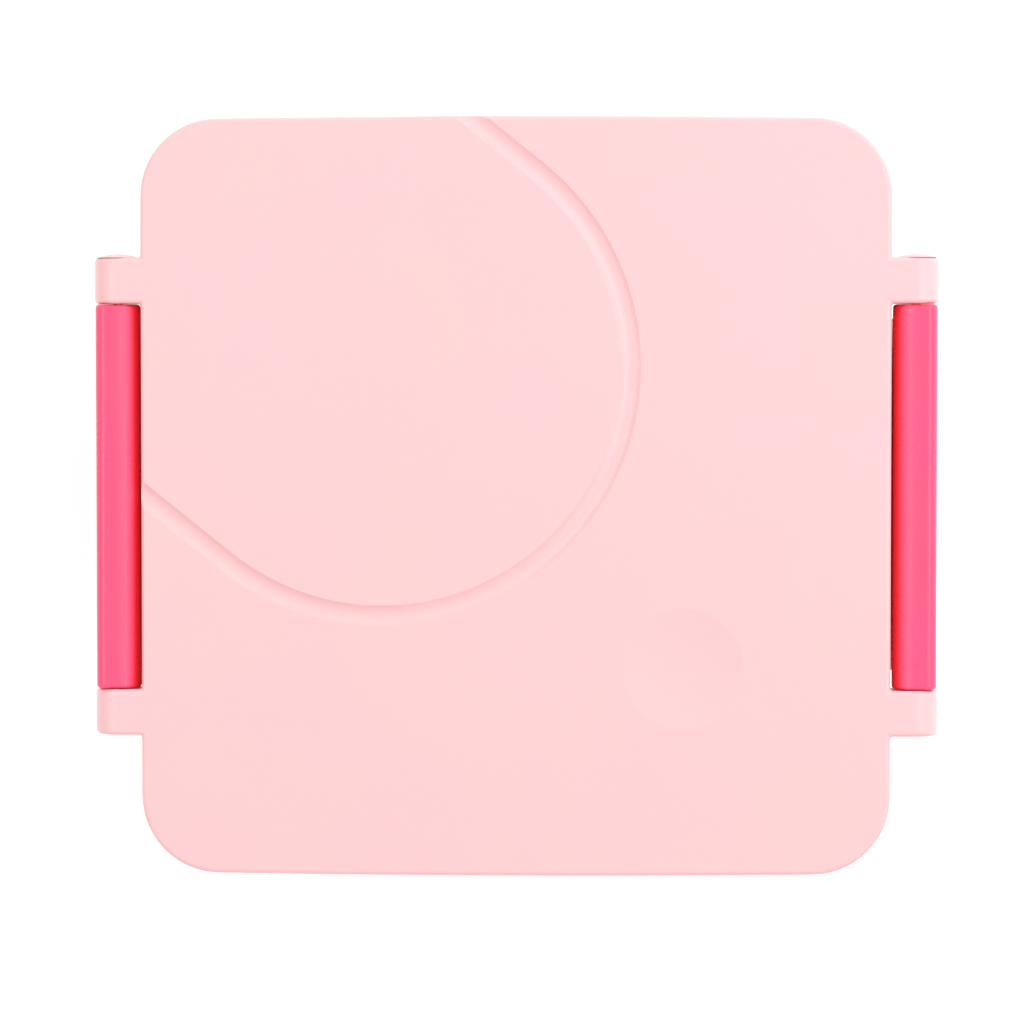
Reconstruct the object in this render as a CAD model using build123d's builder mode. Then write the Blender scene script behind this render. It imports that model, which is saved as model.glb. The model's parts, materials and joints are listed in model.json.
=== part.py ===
from build123d import *
import os
from math import cos, radians, sin, sqrt

# A square lift-off-lid bento lunch box with two long flip latches, a removable tray and a round
# insulated food jar. Millimetres, +Z up, origin at the middle of the underside: X runs from latch
# to latch, and +Y is the back, the side that the latch pins go in from.

# ---------------------------------------------------------------- driving dimensions
OVERALL_X = 217.0        # across the latch ears
BODY_X = 192.4           # lid, without its ears
BODY_Y = 195.0
TOP_Z = 89.0             # lid's top face
CORNER_R = 20.0          # plan radius of the body's four corners
BOW = 0.8                # how far the front and back edges bulge at mid span

# lid cover
LID_EDGE_Z = 69.4        # lower edge of the lid's skirt
LID_WALL = 1.8
LID_PLATE = 2.4
LID_EDGE_R = 1.2         # rounding of the lid's top edge
GROOVE_CENTRE = (-34.4, 33.5)
GROOVE_R = 64.0          # plan radius of the pressed arc
GROOVE_TILT = 38.7       # its two straight ends rise this far above -X
GROOVE_SECTION_R = 4.0
GROOVE_DEPTH = 1.0
GROOVE_RUN_OUT = 70.0    # straight length beyond each end of the arc, past the lid's edge
DIMPLE_CENTRE = (43.1, -44.0)
DIMPLE_R = 15.5
DIMPLE_DEPTH = 0.9

# latch pivots
EAR_R = 5.8
EAR_INNER_Y = 49.6
EAR_OUTER_Y = 61.4
EAR_EDGE_R = 1.2
EAR_ROOT_R = 0.8
PIVOT_X = OVERALL_X / 2 - EAR_R
PIVOT_Z = TOP_Z - EAR_R
PIN_R = 1.25
PIN_CLEARANCE = 0.05     # between the pin and the latch, so that the latch turns
PIN_CHAMFER = 0.25
PIN_FRONT_Y = 57.6       # end of the blind bore in the front ear
CAP_STEM_R = 2.4
CAP_STEM = 2.0
CAP_HEAD_R = 5.5
CAP_HEAD = 1.0

# lid liner and its seal
LINER_INSET = 2.0
LINER_WALL = 1.6
LINER_LOW_Z = 77.2
LINER_HIGH_Z = 79.6
SEAL_INSETS = (3.2, 6.2) # the seal's loop, outer and inner
SEAL_LOW_Z = 73.75
SEAL_HIGH_Z = 78.3
SEAL_LAP = 0.6           # how far the branch is wider than the wall it closes, each side
SOFT_GAP = 0.1           # round each silicone piece in its seat

# latches
BARREL_R = 5.9
LATCH_REACH = 5.3        # from the pivot out to the latch's face
LATCH_HALF_Y = 49.45
LATCH_TOP_Z = TOP_Z - 0.3
FLUTE_INNER_ANGLE = 112.0
FLUTE_DEPTH = 0.25
LATCH_CORNER_R = 2.6
LATCH_LEG = 2.8
LEG_TOP_Z = 79.6
LEG_MID = (106.9, 63.5)
LEG_FOOT = (104.7, 46.4)
BEAD_R = 2.0             # finger bead along the latch's foot
LATCH_FOOT_R = 14.0
LATCH_END_R = 1.0
GUSSET = 1.2
GUSSET_PITCH = 18.0
GUSSET_COUNT = 5
GUSSET_X = 103.2
GUSSET_Z = (66.0, 78.0)
GRIP_RIB_R = 0.8
GRIP_RIB_HALF_Y = 26.0
GRIP_RIB_HEIGHTS = (50.5, 53.5, 56.5)
HOOK_TOP_Z = 61.7
HOOK_TIP_Z = 60.2
HOOK_ROOT_Z = 56.6
HOOK_TIP_X = 98.2
HOOK_HALF_Y = 42.0

# base shell
BASE_BOTTOM_Z = 1.2
BASE_FLOOR = 2.4
SHOULDER_Z = 69.0
NECK_TOP_Z = 72.0
BASE_INSETS = (3.6, 0.2) # outside, at the underside and at the shoulder
CAVITY_INSETS = (6.0, 4.4)
NECK_INSET = 2.2
BASE_EDGE_R = 6.0
CAVITY_EDGE_R = 4.0
LEDGE_X = 100.8
LEDGE_ROOT_X = 92.5
LEDGE_LOW_Z = 62.2
LEDGE_HIGH_Z = 65.4
LEDGE_CHAMFER = 1.8
LEDGE_HALF_Y = 46.0

# feet
FOOT_R = 6.0
FOOT_SUNK = 1.0
FOOT_EDGE_R = 0.6
FOOT_SPACING = 140.0
PANEL = 112.0            # shallow square recess in the underside
PANEL_CORNER_R = 8.0
PANEL_DEPTH = 0.6
GATE_R = 2.0             # moulding gate's stub in the middle of the recess
GATE_HEIGHT = 0.4

# tray
SEAT_GAP = 0.05          # between the tray's flange and the neck that it rests on
TRAY_LOW_Z = BASE_BOTTOM_Z + BASE_FLOOR + 0.4
TRAY_FLOOR_Z = TRAY_LOW_Z + 1.6
RIM_Z = 73.6             # top of the tray's flange and of the wall round the jar
FLANGE_INSET = 2.4
TRAY_OUTER_INSETS = (6.4, 4.7)
TRAY_INNER_INSETS = (8.0, 6.3)
TRAY_OUTER_EDGE_R = 5.0
TRAY_INNER_EDGE_R = 3.6
WELL_WALL = 1.8
RIB = 1.4
RIB_REACH = 3.0          # how far the divider ribs stand out from the walls
RIB_TOP_DROP = 3.0       # from the rim down to the ribs' tops
DIVIDER = 2.0
DIVIDER_SLOT = 2.3
DIVIDER_GAP = 0.3        # at the dividers' ends and lower edges
DIVIDER_TOP_DROP = 0.6
DIVIDER_TOE_R = 6.0
DIVIDER_NOTCH_R = 9.0
FRONT_DIVIDER_X = -10.0
SIDE_DIVIDER_Y = 20.0

# food jar
JAR_CENTRE = (-34.5, 35.0)
WELL_R = 55.4            # inside of the round wall that the jar stands in
JAR_PAD_R = 44.0
JAR_PAD_LOW_Z = TRAY_FLOOR_Z + 0.1
JAR_LOW_Z = JAR_PAD_LOW_Z + 1.6
JAR_R = 51.5
JAR_SHEET = 0.8
JAR_HEEL_R = 4.0
JAR_SHOULDER = (61.5, 65.5)
JAR_MOUTH_R = 46.3
CUP_LOW_Z = 12.0
CUP_CORNER_R = 9.0
LIP_Z = 72.0
LIP_R = 48.4
COLLAR_LOW_Z = 66.2
COLLAR_R = 49.6
LUG_R = 50.9
LUG_COUNT = 4
LUG_ARC = 30.0
LUG_ROOT = 0.9           # how far each lug runs into the wall that carries it
COLLAR_LUG_Z = (69.1, 70.9)

# jar lid
JAR_LID_R = 53.0
JAR_LID_BORE_R = 51.3
JAR_LID_LOW_Z = 66.8
JAR_LID_UNDER_Z = 74.4
JAR_LID_TOP_Z = 76.4
JAR_LID_EDGE_R = 1.5
LID_LUG_R = 49.9
LID_LUG_Z = (67.0, 68.8)
GRIP_R = 26.0            # sunk grip cup in the jar lid's top
GRIP_WALL = 2.0
GRIP_FLANGE = 3.0
GRIP_FLANGE_THICK = 1.4
GRIP_FLOOR_Z = 69.4
GRIP_UNDER_Z = 67.6
GRIP_BAR = 9.0
FLUTE_COUNT = 36
FLUTE_R = 1.6            # thumb flutes round the jar lid's rim
FLUTE_CENTRE_R = JAR_LID_R + 1.1
PLUG_R = 45.2
PLUG_WALL = 1.6
PLUG_LOW_Z = 66.0
PLUG_EDGE_R = 1.0
JAR_SEAL_RADII = (45.6, 50.4)
JAR_SEAL_Z = (72.95, 74.3)
VENT_OFFSET = 15.0       # from the jar's axis, towards the front
VENT_STEM_R = 2.0
VENT_HEAD_R = 4.2
VENT_HEAD = 1.6
VENT_BULB_R = 2.8
VENT_BULB = 1.6

os.makedirs("parts", exist_ok=True)


# ---------------------------------------------------------------- helpers
def body_outline(inset):
    """The body's plan, inset on all sides: a rounded square with a bowed front and back."""
    half_x = BODY_X / 2 - inset
    half_y = BODY_Y / 2 - inset
    with BuildSketch() as plan:
        with BuildLine():
            Line((-half_x, BOW - half_y), (-half_x, half_y - BOW))
            ThreePointArc((-half_x, half_y - BOW), (0, half_y), (half_x, half_y - BOW))
            Line((half_x, half_y - BOW), (half_x, BOW - half_y))
            ThreePointArc((half_x, BOW - half_y), (0, -half_y), (-half_x, BOW - half_y))
        make_face()
        fillet(plan.vertices(), radius=CORNER_R - inset)
    return plan.sketch


def slab(inset, z_low, z_high):
    """A straight prism of the body's plan."""
    outline = body_outline(inset)
    with BuildPart() as block:
        with BuildSketch(Plane.XY.offset(z_low)):
            add(outline)
        extrude(amount=z_high - z_low)
    return block.part


def drafted(insets, z_low, z_high, edge_r):
    """A prism that widens from its low inset to its high one, with a rounded lower edge."""
    low = body_outline(insets[0])
    high = body_outline(insets[1])
    with BuildPart() as block:
        with BuildSketch(Plane.XY.offset(z_low)):
            add(low)
        with BuildSketch(Plane.XY.offset(z_high)):
            add(high)
        loft()
        fillet(block.faces().sort_by(Axis.Z)[0].edges(), radius=edge_r)
    return block.part


def seal_ring(outer_inset, inner_inset, inner_r, outer_r, z_low, z_high):
    """The lid seal's loop with its branch over the wall of the jar's well."""
    loop = slab(outer_inset, z_low, z_high)
    hole = slab(inner_inset, z_low, z_high)
    branch = well_wall(inner_r, outer_r, z_low, z_high)
    with BuildPart() as ring:
        add(loop)
        add(hole, mode=Mode.SUBTRACT)
        add(branch)
        add(loop, mode=Mode.INTERSECT)
    return ring.part


def well_wall(inner_r, outer_r, z_low, z_high):
    """Three quarters of a ring about the jar's axis, open towards the back left corner."""
    with BuildPart() as wall:
        with BuildSketch(Plane((*JAR_CENTRE, z_low))):
            Circle(outer_r)
            Circle(inner_r, mode=Mode.SUBTRACT)
            Rectangle(outer_r, outer_r, align=(Align.MAX, Align.MIN), mode=Mode.SUBTRACT)
        extrude(amount=z_high - z_low)
    return wall.part


def rod(x, z, radius, y_low, y_high):
    """A round bar parallel to Y."""
    with BuildPart() as bar:
        with BuildSketch(Plane.XZ.offset(-y_high)):
            with Locations((x, z)):
                Circle(radius)
        extrude(amount=y_high - y_low)
    return bar.part


def disc(centre, radius, z_low, z_high):
    """A round plate on a vertical axis."""
    with BuildPart() as plate:
        with BuildSketch(Plane((*centre, z_low))):
            Circle(radius)
        extrude(amount=z_high - z_low)
    return plate.part


def about_jar(points):
    """A closed profile of (radius, height) points, turned about the jar's axis."""
    with BuildPart() as turned:
        with BuildSketch(Plane((*JAR_CENTRE, 0), x_dir=(1, 0, 0), z_dir=(0, -1, 0))):
            with BuildLine():
                Polyline(*points, close=True)
            make_face()
        revolve(axis=Axis((*JAR_CENTRE, 0), (0, 0, 1)))
    return turned.part


def lugs(inner_r, outer_r, z_range):
    """Bayonet lugs: short arcs, evenly spaced about the jar's axis."""
    half_arc = radians(LUG_ARC / 2)
    reach = 2 * outer_r
    with BuildPart() as arcs:
        with BuildSketch(Plane((*JAR_CENTRE, z_range[0]))):
            with PolarLocations(0, LUG_COUNT):
                Polygon(
                    (0, 0),
                    (reach * cos(half_arc), -reach * sin(half_arc)),
                    (reach * cos(half_arc), reach * sin(half_arc)),
                    align=None,
                )
            Circle(outer_r, mode=Mode.INTERSECT)
            Circle(inner_r, mode=Mode.SUBTRACT)
        extrude(amount=z_range[1] - z_range[0])
    return arcs.part


def save(shape, name):
    """Labels one finished piece and writes it as its own STEP file."""
    shape.label = name
    export_step(shape, f"parts/{name}.step")


# ---------------------------------------------------------------- lid cover
def lid_ears():
    """Four round-backed ears that carry the latch pins."""
    with BuildPart() as ears:
        with BuildSketch(Plane.XZ.offset(-EAR_OUTER_Y)):
            with Locations((PIVOT_X, PIVOT_Z)):
                Circle(EAR_R)
            with Locations((PIVOT_X - EAR_R, PIVOT_Z)):
                Rectangle(2 * EAR_R, 2 * EAR_R)
        extrude(amount=EAR_OUTER_Y - EAR_INNER_Y)
        fillet(ears.faces().filter_by(Axis.Y).edges(), radius=EAR_EDGE_R)
        mirror(about=Plane.XZ)
        mirror(about=Plane.YZ)
    return ears.part


def groove_cutter():
    """A round bar along the pressed arc: half a circle whose ends run on, straight."""
    tilt = radians(GROOVE_TILT)
    run = (-cos(tilt), sin(tilt))
    side = (sin(tilt), cos(tilt))
    cx, cy = GROOVE_CENTRE
    upper = (cx + GROOVE_R * side[0], cy + GROOVE_R * side[1])
    lower = (cx - GROOVE_R * side[0], cy - GROOVE_R * side[1])
    nose = (cx - GROOVE_R * run[0], cy - GROOVE_R * run[1])
    upper_end = (upper[0] + GROOVE_RUN_OUT * run[0], upper[1] + GROOVE_RUN_OUT * run[1])
    lower_end = (lower[0] + GROOVE_RUN_OUT * run[0], lower[1] + GROOVE_RUN_OUT * run[1])
    axis_z = TOP_Z + GROOVE_SECTION_R - GROOVE_DEPTH
    with BuildLine(Plane.XY.offset(axis_z)) as path:
        Line(upper_end, upper)
        ThreePointArc(upper, nose, lower)
        Line(lower, lower_end)
    with BuildPart() as cutter:
        with BuildSketch(Plane(path.line @ 0, z_dir=path.line % 0)):
            Circle(GROOVE_SECTION_R)
        sweep(path=path.line)
    return cutter.part


def make_lid_cover():
    """The lid's outer moulding: top plate, skirt, ears, pressed arc and thumb dimple."""
    block = slab(0, LID_EDGE_Z, TOP_Z)
    hollow = slab(LID_WALL, LID_EDGE_Z, TOP_Z - LID_PLATE)
    ears = lid_ears()
    groove = groove_cutter()
    dimple_ball_r = (DIMPLE_R**2 + DIMPLE_DEPTH**2) / (2 * DIMPLE_DEPTH)
    bores = []
    for side in (-1, 1):
        bores.append(rod(side * PIVOT_X, PIVOT_Z, PIN_R, -PIN_FRONT_Y, EAR_OUTER_Y))
        bores.append(rod(side * PIVOT_X, PIVOT_Z, CAP_STEM_R, EAR_OUTER_Y - CAP_STEM, EAR_OUTER_Y))
    with BuildPart() as cover:
        add(block)
        fillet(cover.faces().sort_by(Axis.Z)[-1].edges(), radius=LID_EDGE_R)
        add(ears)
        roots = cover.edges().filter_by(Axis.Z).filter_by(
            lambda e: abs(abs(e.center().X) - BODY_X / 2) < EAR_ROOT_R / 2
        )
        fillet(roots, radius=EAR_ROOT_R)
        add(hollow, mode=Mode.SUBTRACT)
        add(groove, mode=Mode.SUBTRACT)
        with Locations((*DIMPLE_CENTRE, TOP_Z - DIMPLE_DEPTH + dimple_ball_r)):
            Sphere(dimple_ball_r, mode=Mode.SUBTRACT)
        for bore in bores:
            add(bore, mode=Mode.SUBTRACT)
    return cover


lid_cover = make_lid_cover()
save(lid_cover.part, "lid_cover")


# ---------------------------------------------------------------- latch pins and their caps
def make_latch_pin(side):
    """A plain steel pin, pressed into both ears."""
    bar = rod(side * PIVOT_X, PIVOT_Z, PIN_R, -PIN_FRONT_Y, EAR_OUTER_Y - CAP_STEM)
    with BuildPart() as pin:
        add(bar)
        chamfer(pin.edges().filter_by(GeomType.CIRCLE), length=PIN_CHAMFER)
    return pin


def make_pin_cap(side):
    """A domed plug that closes the pin's bore in the back ear."""
    stem = rod(side * PIVOT_X, PIVOT_Z, CAP_STEM_R, EAR_OUTER_Y - CAP_STEM, EAR_OUTER_Y)
    head = rod(side * PIVOT_X, PIVOT_Z, CAP_HEAD_R, EAR_OUTER_Y, EAR_OUTER_Y + CAP_HEAD)
    dome_r = (CAP_HEAD_R**2 + CAP_HEAD**2) / (2 * CAP_HEAD)
    with BuildPart() as dome:
        add(head)
        with Locations((side * PIVOT_X, EAR_OUTER_Y + CAP_HEAD - dome_r, PIVOT_Z)):
            Sphere(dome_r, mode=Mode.INTERSECT)
    with BuildPart() as cap:
        add(stem)
        add(dome.part)
    return cap


for label, side in (("left", -1), ("right", 1)):
    save(make_latch_pin(side).part, f"latch_pin_{label}")
    save(make_pin_cap(side).part, f"pin_cap_{label}")


# ---------------------------------------------------------------- lid liner and seal
def make_lid_liner():
    """The lid's inner panel: a plate with an upstand to the cover and a channel for the seal."""
    plate = slab(LINER_INSET, LINER_LOW_Z, TOP_Z - LID_PLATE)
    pan = slab(LINER_INSET + LINER_WALL, LINER_HIGH_Z, TOP_Z - LID_PLATE)
    channel = seal_ring(
        SEAL_INSETS[0] - SOFT_GAP,
        SEAL_INSETS[1] + SOFT_GAP,
        WELL_R - SEAL_LAP - SOFT_GAP,
        WELL_R + WELL_WALL + SEAL_LAP + SOFT_GAP,
        LINER_LOW_Z,
        SEAL_HIGH_Z + SOFT_GAP,
    )
    with BuildPart() as liner:
        add(plate)
        add(pan, mode=Mode.SUBTRACT)
        add(channel, mode=Mode.SUBTRACT)
    return liner


def make_lid_seal():
    """The silicone seal under the liner."""
    ring = seal_ring(
        SEAL_INSETS[0],
        SEAL_INSETS[1],
        WELL_R - SEAL_LAP,
        WELL_R + WELL_WALL + SEAL_LAP,
        SEAL_LOW_Z,
        SEAL_HIGH_Z,
    )
    with BuildPart() as seal:
        add(ring)
    return seal


lid_liner = make_lid_liner()
save(lid_liner.part, "lid_liner")
lid_seal = make_lid_seal()
save(lid_seal.part, "lid_seal")


# ---------------------------------------------------------------- latches
def make_latch_right():
    """A full-length bar on the pin, with a curved leg, a catch hook and a finger bead."""
    leg_top_x = PIVOT_X + LATCH_REACH
    flute_x = PIVOT_X + BARREL_R * cos(radians(FLUTE_INNER_ANGLE))
    flute_z = PIVOT_Z + BARREL_R * sin(radians(FLUTE_INNER_ANGLE))
    corner_x = leg_top_x - LATCH_CORNER_R
    corner_z = LATCH_TOP_Z - LATCH_CORNER_R
    corner_mid = LATCH_CORNER_R * cos(radians(45))
    barrel_low = (leg_top_x - LATCH_LEG, PIVOT_Z - sqrt(BARREL_R**2 - (LATCH_REACH - LATCH_LEG) ** 2))
    lean = (LEG_MID[0] - LEG_FOOT[0]) / (LEG_MID[1] - LEG_FOOT[1])
    grip_ribs = [
        rod(LEG_FOOT[0] + lean * (z - LEG_FOOT[1]), z, GRIP_RIB_R, -GRIP_RIB_HALF_Y, GRIP_RIB_HALF_Y)
        for z in GRIP_RIB_HEIGHTS
    ]
    bore = rod(PIVOT_X, PIVOT_Z, PIN_R + PIN_CLEARANCE, -LATCH_HALF_Y, LATCH_HALF_Y)
    with BuildPart() as latch:
        with BuildSketch(Plane.XZ.offset(-LATCH_HALF_Y)):
            with BuildLine():
                ThreePointArc(barrel_low, (PIVOT_X - BARREL_R, PIVOT_Z), (flute_x, flute_z))
                ThreePointArc(
                    (flute_x, flute_z),
                    ((flute_x + corner_x) / 2, LATCH_TOP_Z - FLUTE_DEPTH),
                    (corner_x, LATCH_TOP_Z),
                )
                ThreePointArc(
                    (corner_x, LATCH_TOP_Z),
                    (corner_x + corner_mid, corner_z + corner_mid),
                    (leg_top_x, corner_z),
                )
                Line((leg_top_x, corner_z), (leg_top_x, LEG_TOP_Z))
                ThreePointArc((leg_top_x, LEG_TOP_Z), LEG_MID, LEG_FOOT)
                Line(LEG_FOOT, (LEG_FOOT[0] - LATCH_LEG, LEG_FOOT[1]))
                ThreePointArc(
                    (LEG_FOOT[0] - LATCH_LEG, LEG_FOOT[1]),
                    (LEG_MID[0] - LATCH_LEG, LEG_MID[1]),
                    barrel_low,
                )
            make_face()
            with Locations((LEG_FOOT[0] - LATCH_LEG / 2, LEG_FOOT[1])):
                Circle(BEAD_R)
        extrude(amount=2 * LATCH_HALF_Y)
        with BuildSketch(Plane.XZ.offset(-HOOK_HALF_Y)):
            Polygon(
                (HOOK_TIP_X, HOOK_TOP_Z),
                (LEG_MID[0] - LATCH_LEG / 2, HOOK_TOP_Z),
                (LEG_MID[0] - LATCH_LEG / 2, HOOK_ROOT_Z),
                (HOOK_TIP_X, HOOK_TIP_Z),
                align=None,
            )
        extrude(amount=2 * HOOK_HALF_Y)
        with BuildSketch(Plane.YZ):
            with Locations((0, LEG_FOOT[1] - BEAD_R)):
                RectangleRounded(
                    2 * LATCH_HALF_Y, TOP_Z, LATCH_FOOT_R, align=(Align.CENTER, Align.MIN)
                )
        extrude(amount=OVERALL_X, mode=Mode.INTERSECT)
        ends = latch.faces().filter_by(Axis.Y)
        fillet((ends.sort_by(Axis.Y)[0] + ends.sort_by(Axis.Y)[-1]).edges(), radius=LATCH_END_R)
        for rib in grip_ribs:
            add(rib)
        for step in range(GUSSET_COUNT):
            y = (step - (GUSSET_COUNT - 1) / 2) * GUSSET_PITCH
            with BuildSketch(Plane.XZ.offset(-y - GUSSET / 2)):
                Polygon(
                    (GUSSET_X, GUSSET_Z[0] + GUSSET),
                    (GUSSET_X, GUSSET_Z[1]),
                    (leg_top_x - LATCH_LEG / 2, GUSSET_Z[1]),
                    (leg_top_x - LATCH_LEG / 2, GUSSET_Z[0] - GUSSET),
                    align=None,
                )
            extrude(amount=GUSSET)
        add(bore, mode=Mode.SUBTRACT)
    return latch


def make_latch_left(right):
    """The right latch's mirror image."""
    with BuildPart() as latch:
        mirror(right.part, about=Plane.YZ)
    return latch


latch_right = make_latch_right()
save(latch_right.part, "latch_right")
latch_left = make_latch_left(latch_right)
save(latch_left.part, "latch_left")


# ---------------------------------------------------------------- base shell and feet
def make_base_shell():
    """The tub: drafted walls, a neck for the lid and a catch ledge on the left and right."""
    outside = drafted(BASE_INSETS, BASE_BOTTOM_Z, SHOULDER_Z, BASE_EDGE_R)
    neck = slab(NECK_INSET, SHOULDER_Z, NECK_TOP_Z)
    cavity = drafted(CAVITY_INSETS, BASE_BOTTOM_Z + BASE_FLOOR, NECK_TOP_Z, CAVITY_EDGE_R)
    with BuildPart() as shell:
        add(outside)
        add(neck)
        with BuildSketch(Plane.XZ.offset(-LEDGE_HALF_Y)):
            Polygon(
                (LEDGE_ROOT_X, LEDGE_LOW_Z),
                (LEDGE_X, LEDGE_LOW_Z),
                (LEDGE_X, LEDGE_HIGH_Z - LEDGE_CHAMFER),
                (LEDGE_X - LEDGE_CHAMFER, LEDGE_HIGH_Z),
                (LEDGE_ROOT_X, LEDGE_HIGH_Z),
                align=None,
            )
        ledge = extrude(amount=2 * LEDGE_HALF_Y)
        mirror(ledge, about=Plane.YZ)
        add(cavity, mode=Mode.SUBTRACT)
        with Locations((0, 0, BASE_BOTTOM_Z)):
            with GridLocations(FOOT_SPACING, FOOT_SPACING, 2, 2):
                Cylinder(
                    FOOT_R, FOOT_SUNK, align=(Align.CENTER, Align.CENTER, Align.MIN),
                    mode=Mode.SUBTRACT,
                )
        with BuildSketch(Plane.XY.offset(BASE_BOTTOM_Z)):
            RectangleRounded(PANEL, PANEL, PANEL_CORNER_R)
        extrude(amount=PANEL_DEPTH, mode=Mode.SUBTRACT)
        with BuildSketch(Plane.XY.offset(BASE_BOTTOM_Z + PANEL_DEPTH - GATE_HEIGHT)):
            Circle(GATE_R)
        extrude(amount=GATE_HEIGHT)
    return shell


def make_feet():
    """Four silicone pads, each sunk into the underside."""
    with BuildPart() as feet:
        with BuildSketch():
            with GridLocations(FOOT_SPACING, FOOT_SPACING, 2, 2):
                Circle(FOOT_R - SOFT_GAP)
        extrude(amount=BASE_BOTTOM_Z + FOOT_SUNK)
        fillet(feet.edges().filter_by(GeomType.CIRCLE).group_by(Axis.Z)[0], radius=FOOT_EDGE_R)
    return feet


base_shell = make_base_shell()
save(base_shell.part, "base_shell")
feet = make_feet()
save(feet.part, "feet")


# ---------------------------------------------------------------- tray
def rib_pair(across, along_range, turned):
    """Two upright ribs, a divider's slot apart, before they are trimmed to the tray."""
    length = along_range[1] - along_range[0]
    middle = (along_range[0] + along_range[1]) / 2
    height = RIM_Z - RIB_TOP_DROP - TRAY_LOW_Z
    with BuildPart() as pair:
        for step in (-1, 1):
            offset = across + step * (DIVIDER_SLOT + RIB) / 2
            place = (middle, offset) if turned else (offset, middle)
            size = (length, RIB) if turned else (RIB, length)
            with BuildSketch(Plane.XY.offset(TRAY_LOW_Z)):
                with Locations(place):
                    Rectangle(*size)
            extrude(amount=height)
    return pair.part


def make_food_tray():
    """The inner tray: drafted walls, a flange, the jar's round well and the divider ribs."""
    well_out_r = WELL_R + WELL_WALL
    outside = drafted(TRAY_OUTER_INSETS, TRAY_LOW_Z, RIM_Z, TRAY_OUTER_EDGE_R)
    flange = slab(FLANGE_INSET, NECK_TOP_Z + SEAT_GAP, RIM_Z)
    inside = drafted(TRAY_INNER_INSETS, TRAY_FLOOR_Z, RIM_Z, TRAY_INNER_EDGE_R)
    wall = well_wall(WELL_R, well_out_r, TRAY_LOW_Z, RIM_Z)
    well = disc(JAR_CENTRE, WELL_R + WELL_WALL / 2, TRAY_FLOOR_Z, RIM_Z)
    front_wall_y = TRAY_INNER_INSETS[0] - BODY_Y / 2
    side_wall_x = BODY_X / 2 - TRAY_INNER_INSETS[0]
    rib_blocks = [
        rib_pair(FRONT_DIVIDER_X, (-BODY_Y / 2, front_wall_y + RIB_REACH), turned=False),
        rib_pair(FRONT_DIVIDER_X, (front_divider_back_y() - RIB_REACH, 0), turned=False),
        rib_pair(SIDE_DIVIDER_Y, (side_wall_x - RIB_REACH, BODY_X / 2), turned=True),
        rib_pair(SIDE_DIVIDER_Y, (0, side_divider_left_x() + RIB_REACH), turned=True),
    ]
    with BuildPart() as fittings:
        for block in rib_blocks:
            add(block)
        add(well, mode=Mode.SUBTRACT)
        add(wall)
        add(outside, mode=Mode.INTERSECT)
    with BuildPart() as tray:
        add(outside)
        add(flange)
        add(inside, mode=Mode.SUBTRACT)
        add(fittings.part)
    return tray


def front_divider_back_y():
    """Where the front divider's plane meets the outside of the well's wall."""
    return JAR_CENTRE[1] - sqrt((WELL_R + WELL_WALL) ** 2 - (FRONT_DIVIDER_X - JAR_CENTRE[0]) ** 2)


def side_divider_left_x():
    """Where the side divider's plane meets the outside of the well's wall."""
    return JAR_CENTRE[0] + sqrt((WELL_R + WELL_WALL) ** 2 - (SIDE_DIVIDER_Y - JAR_CENTRE[1]) ** 2)


def divider_outline(wall_low, wall_high, well_end):
    """A divider's face, with its drafted end towards the tray's wall, as (along, height)."""
    z_low = TRAY_FLOOR_Z + DIVIDER_GAP
    z_high = RIM_Z - DIVIDER_TOP_DROP
    with BuildSketch() as face:
        with BuildLine():
            Polyline(
                (wall_low, z_low), (wall_high, z_high), (well_end, z_high), (well_end, z_low),
                close=True,
            )
        make_face()
        toe = face.vertices().sort_by_distance((wall_low, z_low))[0]
        fillet(toe, radius=DIVIDER_TOE_R)
        with Locations(((wall_high + well_end) / 2, z_high)):
            Circle(DIVIDER_NOTCH_R, mode=Mode.SUBTRACT)
    return face.sketch


def make_divider_front():
    """Stands between the well's wall and the tray's front wall."""
    outline = divider_outline(
        TRAY_INNER_INSETS[0] - BODY_Y / 2 + DIVIDER_GAP,
        TRAY_INNER_INSETS[1] - BODY_Y / 2 + DIVIDER_GAP,
        front_divider_back_y() - DIVIDER,
    )
    with BuildPart() as divider:
        with BuildSketch(Plane.YZ.offset(FRONT_DIVIDER_X - DIVIDER / 2)):
            add(outline)
        extrude(amount=DIVIDER)
    return divider


def make_divider_side():
    """Stands between the well's wall and the tray's right wall."""
    outline = divider_outline(
        BODY_X / 2 - TRAY_INNER_INSETS[0] - DIVIDER_GAP,
        BODY_X / 2 - TRAY_INNER_INSETS[1] - DIVIDER_GAP,
        side_divider_left_x() + DIVIDER,
    )
    with BuildPart() as divider:
        with BuildSketch(Plane.XZ.offset(-SIDE_DIVIDER_Y - DIVIDER / 2)):
            add(outline)
        extrude(amount=DIVIDER)
    return divider


food_tray = make_food_tray()
save(food_tray.part, "food_tray")
divider_front = make_divider_front()
save(divider_front.part, "divider_front")
divider_side = make_divider_side()
save(divider_side.part, "divider_side")


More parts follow.
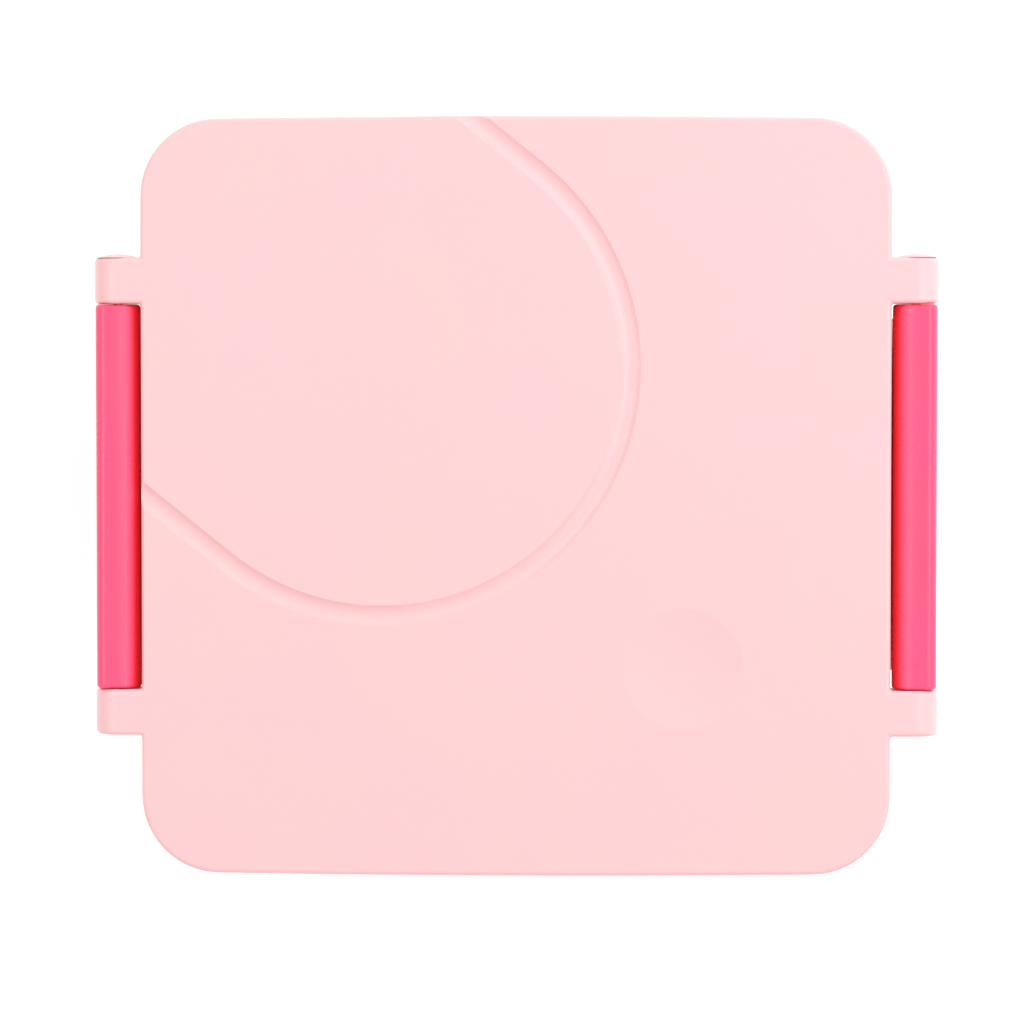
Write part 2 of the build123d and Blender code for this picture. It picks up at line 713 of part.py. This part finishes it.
# ---------------------------------------------------------------- food jar
def make_jar_outer_wall():
    """The steel outside: foot, wall, sloping shoulder and neck."""
    neck_r = JAR_MOUTH_R + JAR_SHEET
    block = about_jar((
        (0, JAR_LOW_Z),
        (JAR_R, JAR_LOW_Z),
        (JAR_R, JAR_SHOULDER[0]),
        (neck_r + JAR_SHEET, JAR_SHOULDER[1]),
        (neck_r + JAR_SHEET, LIP_Z),
        (0, LIP_Z),
    ))
    hollow = about_jar((
        (0, JAR_LOW_Z + JAR_SHEET),
        (JAR_R - JAR_SHEET, JAR_LOW_Z + JAR_SHEET),
        (JAR_R - JAR_SHEET, JAR_SHOULDER[0] - JAR_SHEET / 2),
        (neck_r, JAR_SHOULDER[1] - JAR_SHEET / 2),
        (neck_r, LIP_Z),
        (0, LIP_Z),
    ))
    with BuildPart() as core:
        add(hollow)
        fillet(core.faces().sort_by(Axis.Z)[0].edges(), radius=JAR_HEEL_R - JAR_SHEET)
    with BuildPart() as wall:
        add(block)
        fillet(wall.faces().sort_by(Axis.Z)[0].edges(), radius=JAR_HEEL_R)
        add(core.part, mode=Mode.SUBTRACT)
    return wall


def make_jar_inner_cup():
    """The steel inside, with the lip that closes the vacuum gap."""
    body = disc(JAR_CENTRE, JAR_MOUTH_R + JAR_SHEET, CUP_LOW_Z, LIP_Z)
    lip = disc(JAR_CENTRE, LIP_R, LIP_Z, LIP_Z + JAR_SHEET)
    hollow = disc(JAR_CENTRE, JAR_MOUTH_R, CUP_LOW_Z + JAR_SHEET, LIP_Z + JAR_SHEET)
    with BuildPart() as core:
        add(hollow)
        fillet(core.faces().sort_by(Axis.Z)[0].edges(), radius=CUP_CORNER_R - JAR_SHEET)
    with BuildPart() as cup:
        add(body)
        fillet(cup.faces().sort_by(Axis.Z)[0].edges(), radius=CUP_CORNER_R)
        add(lip)
        add(core.part, mode=Mode.SUBTRACT)
    return cup


def make_jar_collar():
    """The plastic neck ring with its bayonet lugs."""
    neck_r = JAR_MOUTH_R + 2 * JAR_SHEET
    ring = about_jar((
        (neck_r, COLLAR_LOW_Z), (COLLAR_R, COLLAR_LOW_Z), (COLLAR_R, LIP_Z), (neck_r, LIP_Z),
    ))
    teeth = lugs(COLLAR_R - LUG_ROOT, LUG_R, COLLAR_LUG_Z)
    with BuildPart() as collar:
        add(ring)
        add(teeth)
    return collar


def make_jar_base_pad():
    """A silicone pad under the jar's foot."""
    pad = disc(JAR_CENTRE, JAR_PAD_R, JAR_PAD_LOW_Z, JAR_LOW_Z)
    with BuildPart() as base:
        add(pad)
        fillet(base.faces().sort_by(Axis.Z)[0].edges(), radius=FOOT_EDGE_R)
    return base


save(make_jar_outer_wall().part, "jar_outer_wall")
save(make_jar_inner_cup().part, "jar_inner_cup")
save(make_jar_collar().part, "jar_collar")
save(make_jar_base_pad().part, "jar_base_pad")


# ---------------------------------------------------------------- jar lid
def make_jar_lid_shell():
    """A cap with thumb flutes, inner lugs and a round hole for the grip cup."""
    body = about_jar((
        (JAR_LID_BORE_R, JAR_LID_LOW_Z),
        (JAR_LID_R, JAR_LID_LOW_Z),
        (JAR_LID_R, JAR_LID_TOP_Z),
        (GRIP_R, JAR_LID_TOP_Z),
        (GRIP_R, JAR_LID_UNDER_Z),
        (JAR_LID_BORE_R, JAR_LID_UNDER_Z),
    ))
    teeth = lugs(LID_LUG_R, JAR_LID_BORE_R + LUG_ROOT, LID_LUG_Z)
    with BuildPart() as shell:
        add(body)
        top = shell.faces().filter_by(Plane.XY).sort_by(Axis.Z)[-1]
        fillet(top.edges().sort_by(Edge.length)[-1], radius=JAR_LID_EDGE_R)
        add(teeth)
        with BuildSketch(Plane((*JAR_CENTRE, JAR_LID_LOW_Z))):
            with PolarLocations(FLUTE_CENTRE_R, FLUTE_COUNT):
                Circle(FLUTE_R)
        extrude(amount=JAR_LID_TOP_Z - JAR_LID_EDGE_R - JAR_LID_LOW_Z, mode=Mode.SUBTRACT)
    return shell


def make_jar_lid_grip():
    """A cup set into the cap from below, with a bar across it to turn and lift the lid by."""
    cup = about_jar((
        (0, GRIP_UNDER_Z),
        (GRIP_R, GRIP_UNDER_Z),
        (GRIP_R, JAR_LID_UNDER_Z - GRIP_FLANGE_THICK),
        (GRIP_R + GRIP_FLANGE, JAR_LID_UNDER_Z - GRIP_FLANGE_THICK),
        (GRIP_R + GRIP_FLANGE, JAR_LID_UNDER_Z),
        (GRIP_R, JAR_LID_UNDER_Z),
        (GRIP_R, JAR_LID_TOP_Z),
        (GRIP_R - GRIP_WALL, JAR_LID_TOP_Z),
        (GRIP_R - GRIP_WALL, GRIP_FLOOR_Z),
        (0, GRIP_FLOOR_Z),
    ))
    with BuildPart() as grip:
        add(cup)
        with BuildSketch(Plane((*JAR_CENTRE, GRIP_FLOOR_Z))):
            Circle(GRIP_R - GRIP_WALL / 2)
            Rectangle(2 * GRIP_R, GRIP_BAR, mode=Mode.INTERSECT)
        extrude(amount=JAR_LID_TOP_Z - GRIP_FLOOR_Z)
        with BuildSketch(Plane((JAR_CENTRE[0], JAR_CENTRE[1] - VENT_OFFSET, GRIP_UNDER_Z))):
            Circle(VENT_STEM_R + SOFT_GAP)
        extrude(amount=GRIP_FLOOR_Z - GRIP_UNDER_Z, mode=Mode.SUBTRACT)
    return grip


def make_jar_lid_liner():
    """The plug under the cap."""
    body = about_jar((
        (0, PLUG_LOW_Z),
        (PLUG_R, PLUG_LOW_Z),
        (PLUG_R, JAR_LID_UNDER_Z),
        (PLUG_R - PLUG_WALL, JAR_LID_UNDER_Z),
        (PLUG_R - PLUG_WALL, GRIP_UNDER_Z),
        (0, GRIP_UNDER_Z),
    ))
    with BuildPart() as liner:
        add(body)
        fillet(liner.faces().sort_by(Axis.Z)[0].edges(), radius=PLUG_EDGE_R)
        with BuildSketch(Plane((JAR_CENTRE[0], JAR_CENTRE[1] - VENT_OFFSET, PLUG_LOW_Z))):
            Circle(VENT_STEM_R + SOFT_GAP)
        extrude(amount=GRIP_UNDER_Z - PLUG_LOW_Z, mode=Mode.SUBTRACT)
    return liner


def make_jar_lid_seal():
    """The flat ring between the cap and the jar's lip."""
    inner_r, outer_r = JAR_SEAL_RADII
    z_low, z_high = JAR_SEAL_Z
    ring = about_jar(((inner_r, z_low), (outer_r, z_low), (outer_r, z_high), (inner_r, z_high)))
    with BuildPart() as seal:
        add(ring)
    return seal


def make_jar_vent_plug():
    """A silicone button through the cap and its liner, beside the grip bar."""
    centre = (JAR_CENTRE[0], JAR_CENTRE[1] - VENT_OFFSET)
    head = disc(centre, VENT_HEAD_R, GRIP_FLOOR_Z, GRIP_FLOOR_Z + VENT_HEAD)
    stem = disc(centre, VENT_STEM_R, PLUG_LOW_Z, GRIP_FLOOR_Z)
    bulb = disc(centre, VENT_BULB_R, PLUG_LOW_Z - VENT_BULB, PLUG_LOW_Z)
    with BuildPart() as plug:
        add(head)
        fillet(plug.faces().sort_by(Axis.Z)[-1].edges(), radius=VENT_HEAD / 2)
        add(stem)
        add(bulb)
        fillet(plug.faces().sort_by(Axis.Z)[0].edges(), radius=VENT_BULB / 2)
    return plug


save(make_jar_lid_shell().part, "jar_lid_shell")
save(make_jar_lid_grip().part, "jar_lid_grip")
save(make_jar_lid_liner().part, "jar_lid_liner")
save(make_jar_lid_seal().part, "jar_lid_seal")
save(make_jar_vent_plug().part, "jar_vent_plug")
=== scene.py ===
import json
import math

import bpy
from mathutils import Matrix, Vector


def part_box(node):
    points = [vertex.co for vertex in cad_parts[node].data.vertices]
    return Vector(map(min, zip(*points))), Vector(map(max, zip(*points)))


# A square bento lunch box seen from straight above: pale pink lid, two strong pink flip latches.
# Metres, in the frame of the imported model: +X to the right latch, +Y to the back, +Z up.

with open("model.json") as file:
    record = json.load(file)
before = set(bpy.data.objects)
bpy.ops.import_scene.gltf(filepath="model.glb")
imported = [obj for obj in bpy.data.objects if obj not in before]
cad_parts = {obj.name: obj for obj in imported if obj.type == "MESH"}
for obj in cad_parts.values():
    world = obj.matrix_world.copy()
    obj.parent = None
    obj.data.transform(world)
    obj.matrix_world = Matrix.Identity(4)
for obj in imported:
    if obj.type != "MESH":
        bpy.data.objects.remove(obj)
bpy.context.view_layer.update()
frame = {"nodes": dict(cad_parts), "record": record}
nodes = frame["nodes"]

MM = 0.001

# A Mix node's colour sockets share their names with its other sockets, so they go by number.
MIX_COLOUR_A, MIX_COLOUR_B, MIX_COLOUR_RESULT = 6, 7, 2

# ---------------------------------------------------------------- places read from the frame
lid_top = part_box("lid_cover")[1].z
jar_low, jar_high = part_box("jar_outer_wall")
jar_axis = (jar_low + jar_high) / 2


# ---------------------------------------------------------------- node helpers
class Graph:
    """Builds one material's node tree, a call for each node."""

    def __init__(self, name):
        self.material = bpy.data.materials.new(name)
        self.material.use_nodes = True
        self.tree = self.material.node_tree
        self.shader = self.tree.nodes["Principled BSDF"]

    def node(self, kind, **values):
        made = self.tree.nodes.new(kind)
        for key, value in values.items():
            setattr(made, key, value)
        return made

    def link(self, source, target):
        self.tree.links.new(source, target)

    def set(self, **values):
        """Sets constants on the shader, such as base_color=(r, g, b, 1)."""
        for key, value in values.items():
            socket = key.replace("_", " ").title().replace("Ior", "IOR")
            self.shader.inputs[socket].default_value = value

    def place(self):
        """Object coordinates, which are the frame's own metres."""
        return self.node("ShaderNodeTexCoord").outputs["Object"]

    def noise(self, vector, size, detail=2.0, roughness=0.5):
        """Noise whose blotches are about size metres across."""
        made = self.node("ShaderNodeTexNoise")
        made.inputs["Scale"].default_value = 1 / size
        made.inputs["Detail"].default_value = detail
        made.inputs["Roughness"].default_value = roughness
        self.link(vector, made.inputs["Vector"])
        return made.outputs["Fac"]

    def remap(self, value, low_in, high_in, low_out, high_out):
        """Carries the range from low_in to high_in over to low_out to high_out, and clamps it."""
        made = self.node("ShaderNodeMapRange")
        made.inputs["From Min"].default_value = low_in
        made.inputs["From Max"].default_value = high_in
        made.inputs["To Min"].default_value = low_out
        made.inputs["To Max"].default_value = high_out
        self.link(value, made.inputs["Value"])
        return made.outputs["Result"]

    def math(self, operation, first, second=None):
        """One sum on one or two values. Each is a socket or a number."""
        made = self.node("ShaderNodeMath", operation=operation)
        for socket, value in zip(made.inputs, (first, second)):
            if value is None:
                continue
            if isinstance(value, (int, float)):
                socket.default_value = value
            else:
                self.link(value, socket)
        return made.outputs["Value"]

    def mix(self, factor, first, second):
        """A colour between two others. Each is a socket or an (r, g, b) triple."""
        made = self.node("ShaderNodeMix", data_type="RGBA")
        self.link(factor, made.inputs["Factor"])
        for socket, value in ((MIX_COLOUR_A, first), (MIX_COLOUR_B, second)):
            if isinstance(value, tuple):
                made.inputs[socket].default_value = (*value, 1)
            else:
                self.link(value, made.inputs[socket])
        return made.outputs[MIX_COLOUR_RESULT]

    def openness(self, reach):
        """1 where a surface lies open, falling to 0 where it is shut in within reach metres.

        It looks out along the face's own normal, not along the smoothed one.
        """
        made = self.node("ShaderNodeAmbientOcclusion", samples=16)
        made.inputs["Distance"].default_value = reach
        geometry = self.node("ShaderNodeNewGeometry")
        self.link(geometry.outputs["True Normal"], made.inputs["Normal"])
        return made.outputs["AO"]

    def soft_edges(self, radius):
        """A normal that rounds each hard edge over, as a moulded edge is."""
        made = self.node("ShaderNodeBevel", samples=6)
        made.inputs["Radius"].default_value = radius
        return made.outputs["Normal"]

    def bump(self, height, depth, strength=1.0, below=None):
        """Turns a height from 0 to 1 into relief of that depth in metres."""
        made = self.node("ShaderNodeBump")
        made.inputs["Strength"].default_value = strength
        made.inputs["Distance"].default_value = depth
        self.link(height, made.inputs["Height"])
        if below is not None:
            self.link(below, made.inputs["Normal"])
        return made.outputs["Normal"]


def scaled(colour, factor):
    """A colour made lighter or darker."""
    return tuple(min(1.0, c * factor) for c in colour)


# ---------------------------------------------------------------- materials
def moulded_plastic(name, colour, warm, gloss, grain, glow=0.06, painted_gap_shade=None):
    """Moulded plastic: spark-eroded grain, faint flow clouding, slight scuffs and rounded edges.

    The colour drifts towards warm in clouds. Given a gap colour, narrow gaps are painted in it:
    painted shade, for the shade there and for light bounced between two coloured walls.
    """
    cloud_size, speck_size = 45 * MM, 1.6 * MM
    sheen_size, scuff_size, gloss_spread = 22 * MM, 0.9 * MM, 0.05
    wave_size, wave_depth, pit_size = 30 * MM, 0.10 * MM, 0.35 * MM
    edge_radius, gap_reach, glow_reach = 0.3 * MM, 9 * MM, 1.5 * MM

    g = Graph(name)
    place = g.place()
    clouds = g.remap(g.noise(place, cloud_size, detail=3), 0.3, 0.7, 0, 1)
    specks = g.remap(g.noise(place, speck_size, detail=3), 0.35, 0.65, 0, 1)
    blend = g.math("ADD", g.math("MULTIPLY", clouds, 0.75), g.math("MULTIPLY", specks, 0.25))
    body = g.mix(blend, colour, warm)
    if painted_gap_shade is not None:
        # Painted shade: where the surface is shut in, its colour is mixed towards the deep gap
        # colour.
        body = g.mix(g.remap(g.openness(gap_reach), 0.45, 0.88, 0, 1), painted_gap_shade, body)
    g.link(body, g.shader.inputs["Base Color"])
    sheen = g.noise(place, sheen_size, detail=4)
    scuffs = g.noise(place, scuff_size, detail=2)
    worn = g.math("ADD", g.math("MULTIPLY", sheen, 0.6), g.math("MULTIPLY", scuffs, 0.4))
    matt = g.remap(worn, 0.35, 0.65, gloss - gloss_spread, gloss + gloss_spread)
    g.link(matt, g.shader.inputs["Roughness"])
    rounded = g.soft_edges(edge_radius)
    wave = g.bump(g.noise(place, wave_size, detail=1), wave_depth, strength=0.35, below=rounded)
    pitting = g.noise(place, pit_size, detail=2, roughness=0.6)
    g.link(g.bump(pitting, grain, strength=0.6, below=wave), g.shader.inputs["Normal"])
    g.set(ior=1.49, subsurface_weight=glow, subsurface_radius=(1.0, 0.55, 0.5))
    g.shader.inputs["Subsurface Scale"].default_value = glow_reach
    return g.material


def silicone(name, colour, depth):
    """Silicone rubber: matt and slightly see-through, with dust that it has picked up."""
    dust_size, cloud_size = 0.7 * MM, 14 * MM
    grain_size, grain_depth, glow_reach = 0.5 * MM, 0.02 * MM, 2.5 * MM

    g = Graph(name)
    place = g.place()
    dust = g.remap(g.noise(place, dust_size, detail=4, roughness=0.7), 0.56, 0.72, 0, 1)
    clouds = g.noise(place, cloud_size, detail=2)
    body = g.mix(clouds, scaled(colour, 0.94), scaled(colour, 1.04))
    dusty = g.mix(g.math("MULTIPLY", dust, 0.35), body, scaled(colour, 1.2))
    g.link(dusty, g.shader.inputs["Base Color"])
    g.link(g.remap(dust, 0, 1, 0.52, 0.72), g.shader.inputs["Roughness"])
    grain = g.noise(place, grain_size, detail=3)
    g.link(g.bump(grain, grain_depth), g.shader.inputs["Normal"])
    g.set(ior=1.41, subsurface_weight=depth, subsurface_radius=(1.0, 1.0, 0.95))
    g.shader.inputs["Subsurface Scale"].default_value = glow_reach
    return g.material


def turned_steel(name, colour, axis, line, gloss):
    """Steel with brush lines, line metres apart, that run round a vertical axis."""
    stretch_round, smear_size, groove_depth = 1.5, 25 * MM, 0.012 * MM

    g = Graph(name)
    shift = g.node("ShaderNodeVectorMath", operation="SUBTRACT")
    g.link(g.place(), shift.inputs[0])
    shift.inputs[1].default_value = (axis.x, axis.y, 0)
    parts = g.node("ShaderNodeSeparateXYZ")
    g.link(shift.outputs["Vector"], parts.inputs["Vector"])
    x, y, z = parts.outputs
    radius = g.math("SQRT", g.math("ADD", g.math("MULTIPLY", x, x), g.math("MULTIPLY", y, y)))
    turn = g.math("ARCTAN2", y, x)
    along = g.node("ShaderNodeCombineXYZ")
    g.link(g.math("MULTIPLY", radius, 1 / line), along.inputs[0])
    g.link(g.math("MULTIPLY", turn, stretch_round), along.inputs[1])
    g.link(g.math("MULTIPLY", z, 1 / line), along.inputs[2])
    brush = g.noise(along.outputs["Vector"], 1.0, detail=4, roughness=0.65)
    smear = g.noise(g.place(), smear_size, detail=3)
    g.link(g.mix(brush, scaled(colour, 0.88), scaled(colour, 1.08)), g.shader.inputs["Base Color"])
    spread = g.math("ADD", g.math("MULTIPLY", brush, 0.5), g.math("MULTIPLY", smear, 0.5))
    g.link(g.remap(spread, 0.3, 0.7, gloss - 0.07, gloss + 0.08), g.shader.inputs["Roughness"])
    g.link(g.bump(brush, groove_depth, strength=0.7), g.shader.inputs["Normal"])
    g.set(metallic=1.0)
    return g.material


# Linear colours. The first of each pair is a piece's own, the second the one its clouds drift to.
ROSE = (0.930, 0.543, 0.571)
PEACH = (0.935, 0.550, 0.548)
LATCH_PINK = (0.940, 0.085, 0.215)
LATCH_WARM = (0.940, 0.092, 0.200)
# Painted shade: the deep red painted into the narrow gaps beside the latches.
LATCH_PAINTED_SHADE = (0.930, 0.016, 0.030)
WHITE = (0.85, 0.85, 0.83)
WHITE_WARM = (0.86, 0.85, 0.81)
CLEAR = (0.72, 0.74, 0.74)
GREY = (0.42, 0.42, 0.43)
STEEL = (0.60, 0.60, 0.61)

materials = {
    "lid_pink": moulded_plastic("lid_pink", ROSE, PEACH, gloss=0.36, grain=0.02 * MM),
    "base_pink": moulded_plastic("base_pink", ROSE, PEACH, gloss=0.44, grain=0.03 * MM),
    "latch_pink": moulded_plastic(
        "latch_pink", LATCH_PINK, LATCH_WARM, gloss=0.30, grain=0.006 * MM, painted_gap_shade=LATCH_PAINTED_SHADE),
    "white_plastic": moulded_plastic(
        "white_plastic", WHITE, WHITE_WARM, gloss=0.36, grain=0.012 * MM, glow=0.12),
    "clear_silicone": silicone("clear_silicone", CLEAR, depth=0.5),
    "grey_silicone": silicone("grey_silicone", GREY, depth=0.15),
    "jar_steel": turned_steel("jar_steel", STEEL, jar_axis, line=0.25 * MM, gloss=0.30),
    "pin_steel": turned_steel("pin_steel", STEEL, Vector((0, 0, 0)), line=0.15 * MM, gloss=0.26),
}

slots = {part["node"]: part["material_slot"] for part in frame["record"]["subparts"]}
for name, node in nodes.items():
    node.data.materials.clear()
    node.data.materials.append(materials[slots[name]])


# ---------------------------------------------------------------- floor, light and camera
def make_floor():
    """A plain pale light table under the feet, wide enough that no view shows its edge."""
    half = 60.0
    pale, paler = (0.89, 0.89, 0.89), (0.91, 0.91, 0.91)
    mesh = bpy.data.meshes.new("floor")
    corners = [(-half, -half, 0), (half, -half, 0), (half, half, 0), (-half, half, 0)]
    mesh.from_pydata(corners, [], [(0, 1, 2, 3)])
    floor = bpy.data.objects.new("floor", mesh)
    bpy.context.scene.collection.objects.link(floor)
    g = Graph("floor")
    place = g.place()
    g.link(g.mix(g.noise(place, 0.4), pale, paler), g.shader.inputs["Base Color"])
    g.link(g.remap(g.noise(place, 0.05), 0.3, 0.7, 0.8, 0.9), g.shader.inputs["Roughness"])
    g.set(emission_color=(1, 1, 1, 1), emission_strength=0.32)
    mesh.materials.append(g.material)


def make_light(name, azimuth, elevation, distance, width, length, power, mirrored=True):
    """A softbox aimed at the lid, its length level. Azimuth runs from +X towards +Y, in degrees.

    A light that isn't mirrored stays out of the pieces' reflections: low over the lid, its own
    would bleach the lid's far half.
    """
    target = Vector((0, 0, lid_top))
    turn = math.radians(azimuth)
    rise = math.radians(elevation)
    aim = Vector((math.cos(rise) * math.cos(turn), math.cos(rise) * math.sin(turn), math.sin(rise)))
    data = bpy.data.lights.new(name, "AREA")
    data.shape = "RECTANGLE"
    data.size = length
    data.size_y = width
    data.energy = power
    light = bpy.data.objects.new(name, data)
    bpy.context.scene.collection.objects.link(light)
    light.location = target + aim * distance
    light.visible_glossy = mirrored
    light.rotation_euler = aim.to_track_quat("Z", "Y").to_euler()


def make_world(strength):
    """An even white surround."""
    world = bpy.data.worlds.new("studio")
    world.use_nodes = True
    backdrop = world.node_tree.nodes["Background"]
    backdrop.inputs["Color"].default_value = (1, 1, 1, 1)
    backdrop.inputs["Strength"].default_value = strength
    bpy.context.scene.world = world


def make_camera():
    """Above the lid on a long lens, leaning a degree or two towards the right and the back."""
    distance = 1.0
    view_width = 262.1 * MM
    lean = Vector((26.5 * MM, 36.3 * MM, 0))
    target = Vector((-0.8 * MM, -3.75 * MM, lid_top))
    data = bpy.data.cameras.new("camera")
    data.sensor_fit = "HORIZONTAL"
    data.angle = 2 * math.atan(view_width / 2 / distance)
    data.clip_start = 0.05
    camera = bpy.data.objects.new("camera", data)
    bpy.context.scene.collection.objects.link(camera)
    camera.location = Vector((0, 0, lid_top + distance)) + lean
    sight = target - camera.location
    right = sight.cross(Vector((0, 1, 0))).normalized()
    up = right.cross(sight).normalized()
    camera.rotation_euler = Matrix((right, up, -sight.normalized())).transposed().to_euler()
    bpy.context.scene.camera = camera


make_floor()
make_world(0.70)
make_light("key", azimuth=45, elevation=30, distance=1.3, width=0.55, length=0.55, power=6.7,
           mirrored=False)
make_light("right_strip", azimuth=12, elevation=56, distance=1.2, width=0.35, length=1.0,
           power=3.4)
make_light("left_strip", azimuth=168, elevation=56, distance=1.2, width=0.35, length=1.0,
           power=3.15)
make_camera()
bpy.context.scene.view_settings.view_transform = "Standard"
